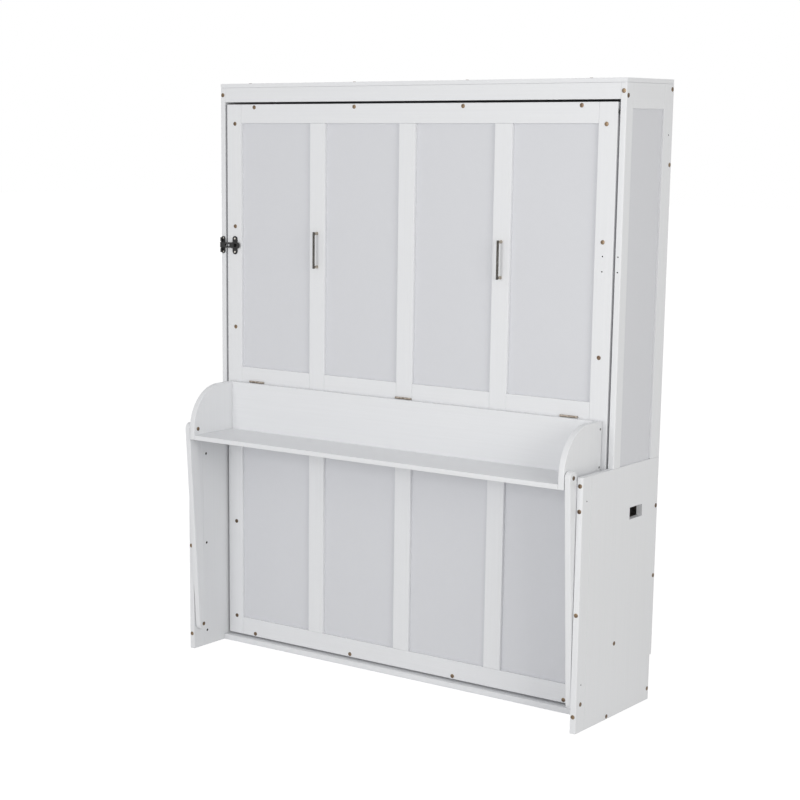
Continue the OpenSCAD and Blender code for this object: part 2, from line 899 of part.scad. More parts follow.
// One leaf with its own knuckles, starting from the first or the second
module hinge_leaf(x, own, rear, pin_play) {
    difference() {
        union() {
            board([x - hinge_l / 2, rear - leaf_t, leaf_top - leaf_h], [x + hinge_l / 2, rear, leaf_top]);
            for (i = [own : 2 : knuckles - 1]) {
                low = x - hinge_l / 2 + i * knuckle_l + slack / 2;
                rod_x(knuckle_r, low, low + knuckle_l - slack, hinge_y, hinge_z);
                board([low, rear - leaf_t, leaf_top - lap], [low + knuckle_l - slack, rear, hinge_z]);
            }
        }
        rod_x(hinge_pin_r + pin_play, x - hinge_l, x + hinge_l, hinge_y, hinge_z);
    }
}

// The pins are tight in the bed's leaves and turn in the desk's
module bed_hinge_leaves() {
    color(brass) for (x = [-hinge_x, 0, hinge_x]) hinge_leaf(x, 0, 0, 0);
}
module desk_hinge_leaves() {
    color(brass) for (x = [-hinge_x, 0, hinge_x]) hinge_leaf(x, 1, desk_rear + leaf_t, run_fit);
}
module hinge_pins() {
    color(steel) for (x = [-hinge_x, 0, hinge_x])
        rod_x(hinge_pin_r, x - hinge_l / 2, x + hinge_l / 2, hinge_y, hinge_z);
}

// ---------------------------------------------------------------- desk

module desk_screw_cuts() {
    both_sides()
        for (z = desk_screw_z)
            rod_x(desk_screw_r, desk_x - desk_screw_l - slack, desk_x + lap, desk_screw_y, z);
}

module desk_back() {
    color(white) difference() {
        board([-end_in, back_board_y, desk_low], [end_in, desk_rear, desk_top]);
        desk_screw_cuts();
    }
}

module desk_shelf() {
    color(white) board([-end_in, -desk_d, desk_low], [end_in, back_board_y, shelf_top]);
}

// Side view of a desk end: square at the back, a quarter round at the upper front corner
module end_outline() {
    union() {
        translate([-desk_d, desk_low]) square([desk_d + desk_rear, desk_h - end_r]);
        translate([-desk_d + end_r, desk_low]) square([desk_d + desk_rear - end_r, desk_h]);
        intersection() {
            translate([-desk_d + end_r, desk_top - end_r]) circle(r = end_r, $fn = 96);
            translate([-desk_d, desk_low]) square([end_r, desk_h]);
        }
    }
}

module desk_end() {
    difference() {
        translate([end_in, 0, 0]) rotate([90, 0, 90]) linear_extrude(board_t) end_outline();
        rod_x(arm_bolt_r + run_fit, end_in - lap, desk_x + lap, arm_top_y, arm_top_z);
        desk_screw_cuts();
    }
}
module left_desk_end() { color(white) mirror([1, 0, 0]) desk_end(); }
module right_desk_end() { color(white) desk_end(); }

module desk_screws() {
    color(steel) both_sides()
        for (z = desk_screw_z) {
            rod_x(desk_screw_r, desk_x - desk_screw_l, desk_x, desk_screw_y, z);
            rod_x(desk_screw_head_r, desk_x, desk_x + desk_screw_head_t, desk_screw_y, z);
        }
}

// Glides under the ends, which meet the floor when the bed is down
module desk_glides() {
    color(black) both_sides()
        for (y = [-desk_d + glide_inset, -glide_inset])
            rod_z(glide_r, desk_low - glide_h, desk_low, desk_x - board_t / 2, y);
}

// ---------------------------------------------------------------- swing arms

// Side view of an arm standing upright on its lower pivot, with round ends
module arm_outline(length) {
    union() {
        translate([-arm_w / 2, 0]) square([arm_w, length]);
        circle(d = arm_w, $fn = 96);
        translate([0, length]) circle(d = arm_w, $fn = 96);
    }
}

module swing_arm() {
    difference() {
        translate([arm_in_x, arm_y, arm_z]) rotate([atan2(-swing_y, swing_z), 0, 0])
            rotate([90, 0, 90]) linear_extrude(board_t) arm_outline(norm([swing_y, swing_z]));
        rod_x(arm_bolt_r + run_fit, arm_in_x - lap, arm_out_x + lap, arm_y, arm_z);
        rod_x(arm_bolt_r, arm_in_x - lap, arm_out_x + lap, arm_top_y, arm_top_z);
    }
}
module left_swing_arm() { color(white) mirror([1, 0, 0]) swing_arm(); }
module right_swing_arm() { color(white) swing_arm(); }

// Bolt through the arm's top and the desk's end, with a collar between them and a cap inside the desk
module arm_bolt() {
    translate([arm_out_x, arm_top_y, arm_top_z]) rotate([0, 90, 0]) bolt_head();
    rod_x(arm_bolt_r, end_in - slack, arm_out_x, arm_top_y, arm_top_z);
    rod_x(washer_r, desk_x + slack, arm_in_x, arm_top_y, arm_top_z);
    translate([end_in - slack, arm_top_y, arm_top_z]) rotate([0, -90, 0]) bolt_head();
}
module left_arm_bolt() { color(brass) mirror([1, 0, 0]) arm_bolt(); }
module right_arm_bolt() { color(brass) arm_bolt(); }

// ---------------------------------------------------------------- what is drawn

top_board();
header_rail();
left_front_post();
right_front_post();
left_rear_stile();
right_rear_stile();
side_top_rails();
side_sheets();
left_lower_stile();
right_lower_stile();
left_lower_panel();
right_lower_panel();
base_board();
back_rails();
back_sheets();
top_board_screws();
frame_bolts();
stile_bolts();
barrel_nuts();
bed_pivot_bolts();
pivot_spacers();
arm_pivot_bolts();
arm_washers();
gap_buffer();
latch_hasp_plate();
hasp_screws();
latch_loop();
latch_keeper();
keeper_screws();
left_bed_stile();
right_bed_stile();
bed_top_rail();
bed_bottom_rail();
bed_mid_rails();
bed_mullions();
upper_bed_sheets();
lower_bed_sheets();
left_bed_side();
right_bed_side();
bed_head_board();
bed_foot_board();
slat_ledgers();
bed_slats();
bed_face_bolts();
pivot_bushes();
handle_bars();
handle_feet();
bed_hinge_leaves();
hinge_pins();
desk_back();
desk_shelf();
left_desk_end();
right_desk_end();
desk_hinge_leaves();
desk_screws();
desk_glides();
left_swing_arm();
right_swing_arm();
left_arm_bolt();
right_arm_bolt();
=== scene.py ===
import json
import math

import bmesh
import bpy
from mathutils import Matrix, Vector

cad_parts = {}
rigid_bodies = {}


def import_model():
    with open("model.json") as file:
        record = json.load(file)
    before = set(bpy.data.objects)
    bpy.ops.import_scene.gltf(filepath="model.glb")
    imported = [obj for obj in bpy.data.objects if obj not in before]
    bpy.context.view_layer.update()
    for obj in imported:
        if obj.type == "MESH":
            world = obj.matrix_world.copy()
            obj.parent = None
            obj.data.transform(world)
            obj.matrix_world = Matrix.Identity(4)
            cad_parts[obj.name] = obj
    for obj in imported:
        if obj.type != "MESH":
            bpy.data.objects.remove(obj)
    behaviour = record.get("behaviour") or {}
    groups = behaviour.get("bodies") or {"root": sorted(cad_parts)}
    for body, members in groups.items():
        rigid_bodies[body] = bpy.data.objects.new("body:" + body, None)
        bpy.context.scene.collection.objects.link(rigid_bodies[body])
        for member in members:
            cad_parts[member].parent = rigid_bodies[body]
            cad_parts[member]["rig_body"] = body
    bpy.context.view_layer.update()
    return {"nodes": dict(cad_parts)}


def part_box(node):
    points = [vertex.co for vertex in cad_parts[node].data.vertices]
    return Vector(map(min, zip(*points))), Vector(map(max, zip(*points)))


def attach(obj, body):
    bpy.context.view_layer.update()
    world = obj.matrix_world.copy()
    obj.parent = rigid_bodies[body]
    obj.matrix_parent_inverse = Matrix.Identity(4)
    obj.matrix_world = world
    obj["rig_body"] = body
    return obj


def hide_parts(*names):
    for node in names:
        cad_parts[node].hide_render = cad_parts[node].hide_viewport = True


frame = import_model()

scene = bpy.context.scene


# ---------------------------------------------------------------- studio
# A white cove, as furniture is photographed in: a pale floor that runs into a white backdrop, a broad soft
# box far in front and a weaker, slightly warm one on the right. A long lens looks from the right front.

scene.view_settings.view_transform = "Standard"

# Worked out from the straight edges of the cabinet. The shift is that of an off-centre crop
camera = bpy.data.objects.new("studio_camera", bpy.data.cameras.new("studio_camera"))
camera.location = (3.86641367, -5.5445772, 2.01821077)
camera.rotation_euler = [math.radians(turn) for turn in (78.72060449, -0.13310162, 38.11851212)]
camera.data.sensor_width = 36
camera.data.lens = 83.82741819846677
camera.data.shift_x = 0.125
camera.data.shift_y = 0.125
scene.collection.objects.link(camera)
scene.camera = camera


def linear(code):
    """A screen colour such as "#E7E7E9" as the linear colour that a shader takes."""
    channels = [int(code[i : i + 2], 16) / 255 for i in (1, 3, 5)]
    return [c / 12.92 if c <= 0.04045 else ((c + 0.055) / 1.055) ** 2.4 for c in channels] + [1]


def node(tree, kind, inputs=None, **settings):
    """Adds a node with its settings. An input that is given a socket is linked to it, any other is set."""
    made = tree.nodes.new(kind)
    for name, value in settings.items():
        setattr(made, name, value)
    for name, value in (inputs or {}).items():
        if isinstance(value, bpy.types.NodeSocket):
            tree.links.new(value, made.inputs[name])
        else:
            made.inputs[name].default_value = value
    return made


def bare_tree(owner):
    """The owner's node tree with nothing in it."""
    owner.use_nodes = True
    owner.node_tree.nodes.clear()
    return owner.node_tree


def seen_directly(tree):
    """1 for what the lens, a reflection or a clear pane looks at, and 0 for light on the object."""
    ray = node(tree, "ShaderNodeLightPath").outputs
    either = node(tree, "ShaderNodeMath", {0: ray["Is Camera Ray"], 1: ray["Is Glossy Ray"]},
                  operation="MAXIMUM")
    return node(tree, "ShaderNodeMath", {0: either.outputs[0], 1: ray["Is Transmission Ray"]},
                operation="MAXIMUM").outputs[0]


scene.world = bpy.data.worlds.new("white_cove")
tree = bare_tree(scene.world)
light_on_object = node(tree, "ShaderNodeBackground", {"Color": linear("#FFFFFF"), "Strength": 0.52})
white_backdrop = node(tree, "ShaderNodeBackground", {"Color": linear("#FFFFFF"), "Strength": 1.0})
cove = node(tree, "ShaderNodeMixShader", {0: seen_directly(tree), 1: light_on_object.outputs[0],
                                          2: white_backdrop.outputs[0]})
node(tree, "ShaderNodeOutputWorld", {"Surface": cove.outputs[0]})

floor_mesh = bpy.data.meshes.new("studio_floor")
reach = 40
floor_mesh.from_pydata([(-reach, -reach, -0.0006), (reach, -reach, -0.0006), (reach, reach, -0.0006),
                        (-reach, reach, -0.0006)], [], [(0, 1, 2, 3)])
floor = bpy.data.objects.new("studio_floor", floor_mesh)
scene.collection.objects.link(floor)

# Matt white vinyl. It glows to white for the lens alone, so that only the object's soft shadow shows on it
vinyl = bpy.data.materials.new("matt white floor vinyl")
tree = bare_tree(vinyl)
lit = node(tree, "ShaderNodeBsdfDiffuse", {"Color": linear("#A0A0A0")})
glow = node(tree, "ShaderNodeEmission", {"Color": linear("#FFFFFF"), "Strength": 0.86})
white_for_lens = node(tree, "ShaderNodeAddShader", {0: lit.outputs[0], 1: glow.outputs[0]})
bounce = node(tree, "ShaderNodeBsdfDiffuse", {"Color": linear("#E6E6E6")})
laid = node(tree, "ShaderNodeMixShader", {0: seen_directly(tree), 1: bounce.outputs[0],
                                          2: white_for_lens.outputs[0]})
node(tree, "ShaderNodeOutputMaterial", {"Surface": laid.outputs[0]})
floor_mesh.materials.append(vinyl)


def soft_box(name, place, width, watts, colour="#FFFFFF"):
    """A square soft box that faces the middle of the object."""
    light = bpy.data.lights.new(name, "AREA")
    light.color = linear(colour)[:3]
    light.size = width
    light.energy = watts
    lamp = bpy.data.objects.new(name, light)
    lamp.location = place
    lamp.rotation_euler = (Vector((0, 0, 1.1)) - Vector(place)).to_track_quat("-Z", "Y").to_euler()
    scene.collection.objects.link(lamp)


soft_box("front_soft_box", (-0.6, -8.0, 2.4), 3.2, 180)
soft_box("right_soft_box", (5.6, -2.7, 2.3), 2.6, 99, "#FFFEFA")


# ---------------------------------------------------------------- lower sides and base
# Each lower side is a stile and a wide panel of sawn pine board, glued edge to edge and sprayed white.
# The panel is notched at the back for a skirting board. The base board lies between the sides.

white_grains = {}


def sprayed_white(grain):
    """Satin white lacquer on pine. It looks even from afar; close up the grain raises faint streaks along
    the stick, and the sprayed coat has a fine orange peel that softens its highlights."""
    if grain in white_grains:
        return white_grains[grain]
    lacquer = bpy.data.materials.new("satin white lacquer grain along " + grain)
    tree = bare_tree(lacquer)
    place = node(tree, "ShaderNodeTexCoord").outputs["Object"]
    # Streaks 450 mm long and 7 mm wide
    streaks_per_metre = [1 / 0.45 if axis == grain else 1 / 0.007 for axis in "xyz"]
    along = node(tree, "ShaderNodeMapping", {"Vector": place, "Scale": streaks_per_metre})
    grain_lines = node(tree, "ShaderNodeTexNoise", {"Vector": along.outputs[0], "Scale": 1.0, "Detail": 4.0,
                                                    "Roughness": 0.62, "Distortion": 0.4})
    # Real orange peel is under 1 mm; 2.5 mm is the finest that still shows
    peel = node(tree, "ShaderNodeTexNoise", {"Vector": place, "Scale": 1 / 0.0025, "Detail": 2.0})
    # The coat is a little uneven over some 300 mm
    clouds = node(tree, "ShaderNodeTexNoise", {"Vector": place, "Scale": 1 / 0.3, "Detail": 1.0})
    tone = node(tree, "ShaderNodeMapRange", {"Value": grain_lines.outputs[0], "From Min": 0.3,
                                             "From Max": 0.7})
    streaked = node(tree, "ShaderNodeMix", {0: tone.outputs[0], 6: linear("#E5E6E8"), 7: linear("#E8E9EB")},
                    data_type="RGBA")
    patch = node(tree, "ShaderNodeMapRange", {"Value": clouds.outputs[0], "From Min": 0.35, "From Max": 0.65,
                                              "To Min": 0.0, "To Max": 0.35})
    coat = node(tree, "ShaderNodeMix", {0: patch.outputs[0], 6: streaked.outputs[2], 7: linear("#E6E7EA")},
                data_type="RGBA")
    gloss = node(tree, "ShaderNodeMapRange", {"Value": peel.outputs[0], "To Min": 0.40, "To Max": 0.50})
    raised = node(tree, "ShaderNodeMath", {0: grain_lines.outputs[0], 1: 0.6}, operation="MULTIPLY")
    relief = node(tree, "ShaderNodeMath", {0: raised.outputs[0], 1: peel.outputs[0]}, operation="ADD")
    bump = node(tree, "ShaderNodeBump", {"Height": relief.outputs[0], "Strength": 0.12, "Distance": 0.0002})
    skin = node(tree, "ShaderNodeBsdfPrincipled", {"Base Color": coat.outputs[2],
                                                   "Roughness": gloss.outputs[0],
                                                   "Normal": bump.outputs[0], "IOR": 1.5})
    node(tree, "ShaderNodeOutputMaterial", {"Surface": skin.outputs[0]})
    white_grains[grain] = lacquer
    return lacquer


# Bare wood at the bottom of a drilled hole, which hardly any light reaches, coloured near black: painted
# shade
bore_wood_with_painted_shade = bpy.data.materials.new("raw wood in drilled holes")
tree = bare_tree(bore_wood_with_painted_shade)
place = node(tree, "ShaderNodeTexCoord").outputs["Object"]
burrs = node(tree, "ShaderNodeTexNoise", {"Vector": place, "Scale": 1 / 0.0015, "Detail": 2.0})
colour = node(tree, "ShaderNodeMix", {0: burrs.outputs[0], 6: linear("#14110E"), 7: linear("#2A2520")},
              data_type="RGBA")
skin = node(tree, "ShaderNodeBsdfPrincipled", {"Base Color": colour.outputs[2], "Roughness": 0.9,
                                               "IOR": 1.45})
node(tree, "ShaderNodeOutputMaterial", {"Surface": skin.outputs[0]})

# Faces that meet at more than this are an edge of the piece
SHARP = math.radians(32)
# A turn of an outline under this, in radians, is no corner
STRAIGHT = 0.004
# A side whose normal is this close to an axis is flat across it
FLAT = 0.9999
# Points closer than this are one
SAME_SPOT = 1e-5
# Two boards that meet are drawn this much short, which leaves the fine dark line of an unfilled joint
SHORT = 0.00012
# The widest and the deepest skin that is still the inside of a drilled hole
BORE_WIDTH, BORE_DEPTH = 0.0105, 0.08
# How far a blank for one soft edge reaches past the sides that it leaves alone
BEYOND = 0.05


def moved_in(outline, inset, radius=0):
    """The outline, given anticlockwise, moved inwards. Its sharp outer corners become arcs of the radius."""
    ring = []
    for before, here, after in zip(outline[-1:] + outline[:-1], outline, outline[1:] + outline[:1]):
        come, go = (here - before).normalized(), (after - here).normalized()
        turn = math.atan2(come.cross(go), come.dot(go))
        normal, other = Vector((-come.y, come.x)), Vector((-go.y, go.x))
        across = (normal + other) / (1 + normal.dot(other))
        if turn > SHARP and radius > 0:
            for step in range(4):
                angle = turn * step / 3
                out = Vector((normal.x * math.cos(angle) - normal.y * math.sin(angle),
                              normal.x * math.sin(angle) + normal.y * math.cos(angle)))
                ring.append(here + across * radius - out * (radius - inset))
        elif abs(turn) > STRAIGHT:
            ring.append(here + across * inset)
    return ring


def rounded_blank(outline, axis, low, high, radius, short=-0.00001):
    """A mesh of the outline drawn out along an axis, with every edge rounded over by the radius. All its
    sides are that much short of the outline and the levels."""
    outline = moved_in(outline, short)
    steps = [(radius * (1 - math.sin(a)), radius * (1 - math.cos(a))) for a in (0, math.pi / 6, math.pi / 3,
                                                                               math.pi / 2)]
    rings = [(inset, low + short + up) for inset, up in steps]
    rings += [(inset, high - short - up) for inset, up in reversed(steps)]
    points, faces = [], []
    for inset, level in rings:
        ring = moved_in(outline, inset, radius)
        for flat in ring:
            point = Vector()
            point[axis], point[(axis + 1) % 3], point[(axis + 2) % 3] = level, flat.x, flat.y
            points.append(point)
    count = len(points) // len(rings)
    for start in range(0, len(points) - count, count):
        for i in range(count):
            a, b = start + i, start + (i + 1) % count
            faces.append((a, b, b + count, a + count))
    faces.append(range(count - 1, -1, -1))
    faces.append(range(len(points) - count, len(points)))
    return as_mesh("blank", points, faces)


def as_mesh(name, points, faces):
    """A mesh of these points and faces, in which points on the same spot are one."""
    work = bmesh.new()
    made = [work.verts.new(point) for point in points]
    for face in faces:
        work.faces.new([made[i] for i in face])
    bmesh.ops.remove_doubles(work, verts=work.verts, dist=SAME_SPOT / 10)
    mesh = bpy.data.meshes.new(name)
    work.to_mesh(mesh)
    work.free()
    return mesh


def groups_of(items, neighbours):
    """Yields the items in groups that hang together. It goes by the order of the items and never by that of
    a set, which changes from run to run."""
    waiting = set(items)
    for first in items:
        if first not in waiting:
            continue
        waiting.remove(first)
        front, found = [first], []
        while front:
            item = front.pop()
            found.append(item)
            for other in neighbours(item):
                if other in waiting:
                    waiting.remove(other)
                    front.append(other)
        yield found


def solids_of(name):
    """The connected solids of a CAD node, each as a bmesh of its own."""
    whole = bmesh.new()
    whole.from_mesh(frame["nodes"][name].data)
    bmesh.ops.remove_doubles(whole, verts=whole.verts, dist=SAME_SPOT)
    solids = []
    for found in groups_of(whole.faces, lambda face: [f for edge in face.edges for f in edge.link_faces]):
        solid, twins = bmesh.new(), {}
        for face in found:
            for point in face.verts:
                if point not in twins:
                    twins[point] = solid.verts.new(point.co)
            solid.faces.new([twins[point] for point in face.verts])
        solid.normal_update()
        solids.append(solid)
    whole.free()
    return solids


def broad_side(solid):
    """The broadest flat side of a solid: (its axis, whether it looks up the axis, its level, its outline
    anticlockwise about the axis)."""
    sides = {}
    for face in solid.faces:
        axis = max(range(3), key=lambda i: abs(face.normal[i]))
        if abs(face.normal[axis]) > FLAT:
            key = (axis, face.normal[axis] > 0, round(face.verts[0].co[axis], 5))
            sides.setdefault(key, []).append(face)
    (axis, upward, level), faces = max(sides.items(), key=lambda side: sum(f.calc_area() for f in side[1]))
    flat, follows = set(faces), {}
    for face in faces:
        for corner in face.loops:
            if len(flat & set(corner.edge.link_faces)) == 1:
                follows[corner.vert] = corner.link_loop_next.vert
    loops = []
    while follows:
        point = next(iter(follows))
        loop = []
        while point in follows:
            loop.append(Vector((point.co[(axis + 1) % 3], point.co[(axis + 2) % 3])))
            point = follows.pop(point)
        loops.append(loop if upward else loop[::-1])
    outer = max(loops, key=lambda loop: sum(a.cross(b) for a, b in zip(loop, loop[1:] + loop[:1])))
    return axis, upward, level, outer


def combined(mesh, other, operation):
    """The mesh joined to, cut by or held inside the other one."""
    body, tool = bpy.data.objects.new("body", mesh), bpy.data.objects.new("tool", other)
    scene.collection.objects.link(body)
    scene.collection.objects.link(tool)
    change = body.modifiers.new("change", "BOOLEAN")
    change.operation, change.solver, change.object = operation, "MANIFOLD", tool
    depsgraph = bpy.context.evaluated_depsgraph_get()
    made = bpy.data.meshes.new_from_object(body.evaluated_get(depsgraph), depsgraph=depsgraph)
    for spent in (body, tool):
        bpy.data.objects.remove(spent)
    return made


def finished(name, meshes, finish, slot):
    """Stands for a CAD node: the meshes as one piece in the finish, bare wood darkened to painted shade in
    its small bores.
    """
    whole = bmesh.new()
    for mesh in meshes:
        whole.from_mesh(mesh)
    for face in whole.faces:
        face.material_index = 0

    def smoothly_joined(face):
        return [f for edge in face.edges if len(edge.link_faces) == 2 and edge.calc_face_angle() < SHARP
                for f in edge.link_faces]

    for skin in groups_of(whole.faces, smoothly_joined):
        corners = [point.co for face in skin for point in face.verts]
        spans = sorted(max(c[i] for c in corners) - min(c[i] for c in corners) for i in range(3))
        # Skins this small are drilled holes and take the near black wood, which is painted shade
        if slot == "white_paint" and spans[1] < BORE_WIDTH and spans[2] < BORE_DEPTH:
            for face in skin:
                face.material_index = 1
    mesh = bpy.data.meshes.new("eased_" + name)
    whole.to_mesh(mesh)
    whole.free()
    mesh.shade_smooth()
    mesh.set_sharp_from_angle(angle=SHARP)
    mesh.materials.append(finish)
    if slot == "white_paint":
        mesh.materials.append(bore_wood_with_painted_shade)
    piece = bpy.data.objects.new("eased_" + name, mesh)
    scene.collection.objects.link(piece)
    level = piece.modifiers.new("even_shading", "WEIGHTED_NORMAL")
    level.keep_sharp = True
    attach(piece, frame["nodes"][name]["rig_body"])
    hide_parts(name)
    return piece


def eased(name, edge_mm, finish, slot="white_paint", soft_mm=0, soft_edge=(0, 0, 0)):
    """Stands for a CAD node as the same solids with their outer edges rounded over, as sanding leaves them.
    One edge, given by the way it looks, can be softer than the others."""
    meshes = []
    for solid in solids_of(name):
        axis, _, _, outline = broad_side(solid)
        low = Vector([min(point.co[i] for point in solid.verts) for i in range(3)])
        high = Vector([max(point.co[i] for point in solid.verts) for i in range(3)])
        mesh = bpy.data.meshes.new("solid")
        solid.to_mesh(mesh)
        solid.free()
        blank = rounded_blank(outline, axis, low[axis], high[axis], edge_mm / 1000, SHORT)
        mesh = combined(mesh, blank, "INTERSECT")
        if soft_mm:
            for i, way in enumerate(soft_edge):
                low[i] -= BEYOND if way >= 0 else 0
                high[i] += BEYOND if way <= 0 else 0
            u, v = (axis + 1) % 3, (axis + 2) % 3
            corners = [Vector(c) for c in ((low[u], low[v]), (high[u], low[v]), (high[u], high[v]),
                                           (low[u], high[v]))]
            soft_blank = rounded_blank(corners, axis, low[axis], high[axis], soft_mm / 1000)
            mesh = combined(mesh, soft_blank, "INTERSECT")
        meshes.append(mesh)
    return finished(name, meshes, finish, slot)


for side, out in (("left", -1), ("right", 1)):
    eased(side + "_lower_stile", 1.2, sprayed_white("z"), soft_mm=4.0, soft_edge=(out, -1, 0))
    eased(side + "_lower_panel", 1.0, sprayed_white("z"))
eased("base_board", 1.2, sprayed_white("x"))


# ---------------------------------------------------------------- upper cabinet frame
# Square pine sticks make the upper sides: a post in front, a stile at the back and a rail between their
# tops. The header rail and the top board tie the two sides together. All are bolted and sprayed white.

for side, out in (("left", -1), ("right", 1)):
    eased(side + "_front_post", 1.2, sprayed_white("z"), soft_mm=4.0, soft_edge=(out, -1, 0))
    eased(side + "_rear_stile", 1.2, sprayed_white("z"))
eased("side_top_rails", 1.2, sprayed_white("y"))
eased("header_rail", 1.4, sprayed_white("x"))
eased("top_board", 1.4, sprayed_white("x"))


# ---------------------------------------------------------------- thin sheets of the cabinet
# Pale grey hardboard, 5 mm thick, slid into grooves in the sides before they are closed, and screwed over
# the rails at the back. One face is pressed to a fine linen pattern.

def pressed_sheet(name, low, high):
    """Melamine coated hardboard with a fine linen press: a dry sheen and a barely visible cross hatch."""
    melamine = bpy.data.materials.new(name)
    tree = bare_tree(melamine)
    place = node(tree, "ShaderNodeTexCoord").outputs["Object"]
    # The threads of the press are about 1 mm apart; 2.4 mm is the finest that still shows. A wave of
    # scale 1 repeats every 0.314 m
    threads = 0.314 / 0.0024
    along = {way: node(tree, "ShaderNodeTexWave", {"Vector": place, "Scale": threads, "Distortion": 1.2,
                                                   "Detail": 1.0}, bands_direction=way).outputs[1]
             for way in "XYZ"}
    crossing = node(tree, "ShaderNodeMath", {0: along["X"], 1: along["Z"]}, operation="ADD")
    weave = node(tree, "ShaderNodeMath", {0: crossing.outputs[0], 1: along["Y"]}, operation="ADD")
    fibres = node(tree, "ShaderNodeTexNoise", {"Vector": place, "Scale": 1 / 0.02, "Detail": 5.0})
    dust = node(tree, "ShaderNodeMath", {0: weave.outputs[0], 1: fibres.outputs[0]}, operation="ADD")
    tone = node(tree, "ShaderNodeMapRange", {"Value": dust.outputs[0], "From Min": 0.6, "From Max": 3.4})
    colour = node(tree, "ShaderNodeMix", {0: tone.outputs[0], 6: linear(low), 7: linear(high)},
                  data_type="RGBA")
    bump = node(tree, "ShaderNodeBump", {"Height": weave.outputs[0], "Strength": 0.3, "Distance": 0.0002})
    gloss = node(tree, "ShaderNodeMapRange", {"Value": fibres.outputs[0], "To Min": 0.48, "To Max": 0.62})
    skin = node(tree, "ShaderNodeBsdfPrincipled", {"Base Color": colour.outputs[2],
                                                   "Roughness": gloss.outputs[0],
                                                   "Normal": bump.outputs[0], "IOR": 1.5})
    node(tree, "ShaderNodeOutputMaterial", {"Surface": skin.outputs[0]})
    return melamine


# A cooler and darker white than the lacquer in the sides and the bed. The mid grey at the back is partly the
# board's own colour and partly painted shade, which keeps the inside of the cabinet dark where it shows
# through openings
hardboard = pressed_sheet("pale grey linen pressed hardboard", "#D5D6DA", "#DBDCE0")
back_sheet_grey_and_painted_shade = pressed_sheet("mid grey linen pressed hardboard", "#74767A", "#7E8085")


def refinished(name, finish):
    """The CAD node stays as it is and takes this finish."""
    for place in frame["nodes"][name].material_slots:
        place.material = finish


refinished("side_sheets", hardboard)
refinished("back_sheets", back_sheet_grey_and_painted_shade)
eased("back_rails", 1.2, sprayed_white("x"))


# ---------------------------------------------------------------- connector bolts of the cabinet
# Low button heads with a hexagonal socket, 15 mm across, bronze plated. They go through the side faces into
# the rails, down through the top board, and from the front edge into cross dowels in the lower sides.

def seats(name, head_mm, shank_mm):
    """Where the heads of a node's fasteners sit: (centre of the seat, way the head looks, length of the
    shank)."""
    work = bmesh.new()
    work.from_mesh(frame["nodes"][name].data)
    bmesh.ops.remove_doubles(work, verts=work.verts, dist=SAME_SPOT)
    found = []
    for points in groups_of(work.verts, lambda point: [edge.other_vert(point) for edge in point.link_edges]):
        solid = [point.co.copy() for point in points]
        low, high = Vector(map(min, zip(*solid))), Vector(map(max, zip(*solid)))
        axis = max(range(3), key=lambda i: high[i] - low[i])
        middle, heads = (low + high) / 2, []
        for end, sign in ((low[axis], -1), (high[axis], 1)):
            rim = 0
            for point in solid:
                if abs(point[axis] - end) < (head_mm + 0.1) / 1000:
                    off = point - middle
                    off[axis] = 0
                    rim = max(rim, off.length)
            # A head is at least a fifth wider than the shank
            if rim > 1.2 * shank_mm / 1000:
                seat, facing = middle.copy(), Vector()
                seat[axis] = end - sign * head_mm / 1000
                facing[axis] = sign
                heads.append((seat, facing))
        share = (high[axis] - low[axis] - head_mm / 1000) / len(heads)
        found += [(seat, facing, share) for seat, facing in heads]
    work.free()
    return found


def open_tree(name, sizes):
    """A new Geometry Nodes tree: (tree, outputs of its input node). Each size, in metres, is a named
    input."""
    tree = bpy.data.node_groups.new(name, "GeometryNodeTree")
    tree.interface.new_socket("Seats", in_out="INPUT", socket_type="NodeSocketGeometry")
    for size, value in sizes.items():
        tree.interface.new_socket(size, in_out="INPUT", socket_type="NodeSocketFloat").default_value = value
    tree.interface.new_socket("Finish", in_out="INPUT", socket_type="NodeSocketMaterial")
    tree.interface.new_socket("Fasteners", in_out="OUTPUT", socket_type="NodeSocketGeometry")
    return tree, node(tree, "NodeGroupInput").outputs


def close_tree(tree, given, head):
    """Sets the head on every seat with a shank of that seat's length behind it, and gives all the finish."""
    facing = node(tree, "GeometryNodeInputNamedAttribute", {"Name": "facing"}, data_type="FLOAT_VECTOR")
    length = node(tree, "GeometryNodeInputNamedAttribute", {"Name": "reach"}, data_type="FLOAT")
    turn = node(tree, "FunctionNodeAlignRotationToVector", {"Vector": facing.outputs[0]}, axis="Z")
    heads = node(tree, "GeometryNodeInstanceOnPoints", {"Points": given["Seats"], "Instance": head,
                                                        "Rotation": turn.outputs[0]})
    rod = node(tree, "GeometryNodeMeshCylinder", {"Vertices": 24, "Radius": given["Shank Radius"],
                                                  "Depth": 1.0})
    back = node(tree, "GeometryNodeTransform", {"Geometry": rod.outputs[0], "Translation": (0, 0, -0.5)})
    stretch = node(tree, "ShaderNodeCombineXYZ", {"X": 1.0, "Y": 1.0, "Z": length.outputs[0]})
    shanks = node(tree, "GeometryNodeInstanceOnPoints", {"Points": given["Seats"],
                                                         "Instance": back.outputs[0],
                                                         "Rotation": turn.outputs[0],
                                                         "Scale": stretch.outputs[0]})
    both = node(tree, "GeometryNodeJoinGeometry")
    tree.links.new(heads.outputs[0], both.inputs[0])
    tree.links.new(shanks.outputs[0], both.inputs[0])
    real = node(tree, "GeometryNodeRealizeInstances", {"Geometry": both.outputs[0]})
    plated = node(tree, "GeometryNodeSetMaterial", {"Geometry": real.outputs[0], "Material": given["Finish"]})
    node(tree, "NodeGroupOutput", {0: plated.outputs[0]})


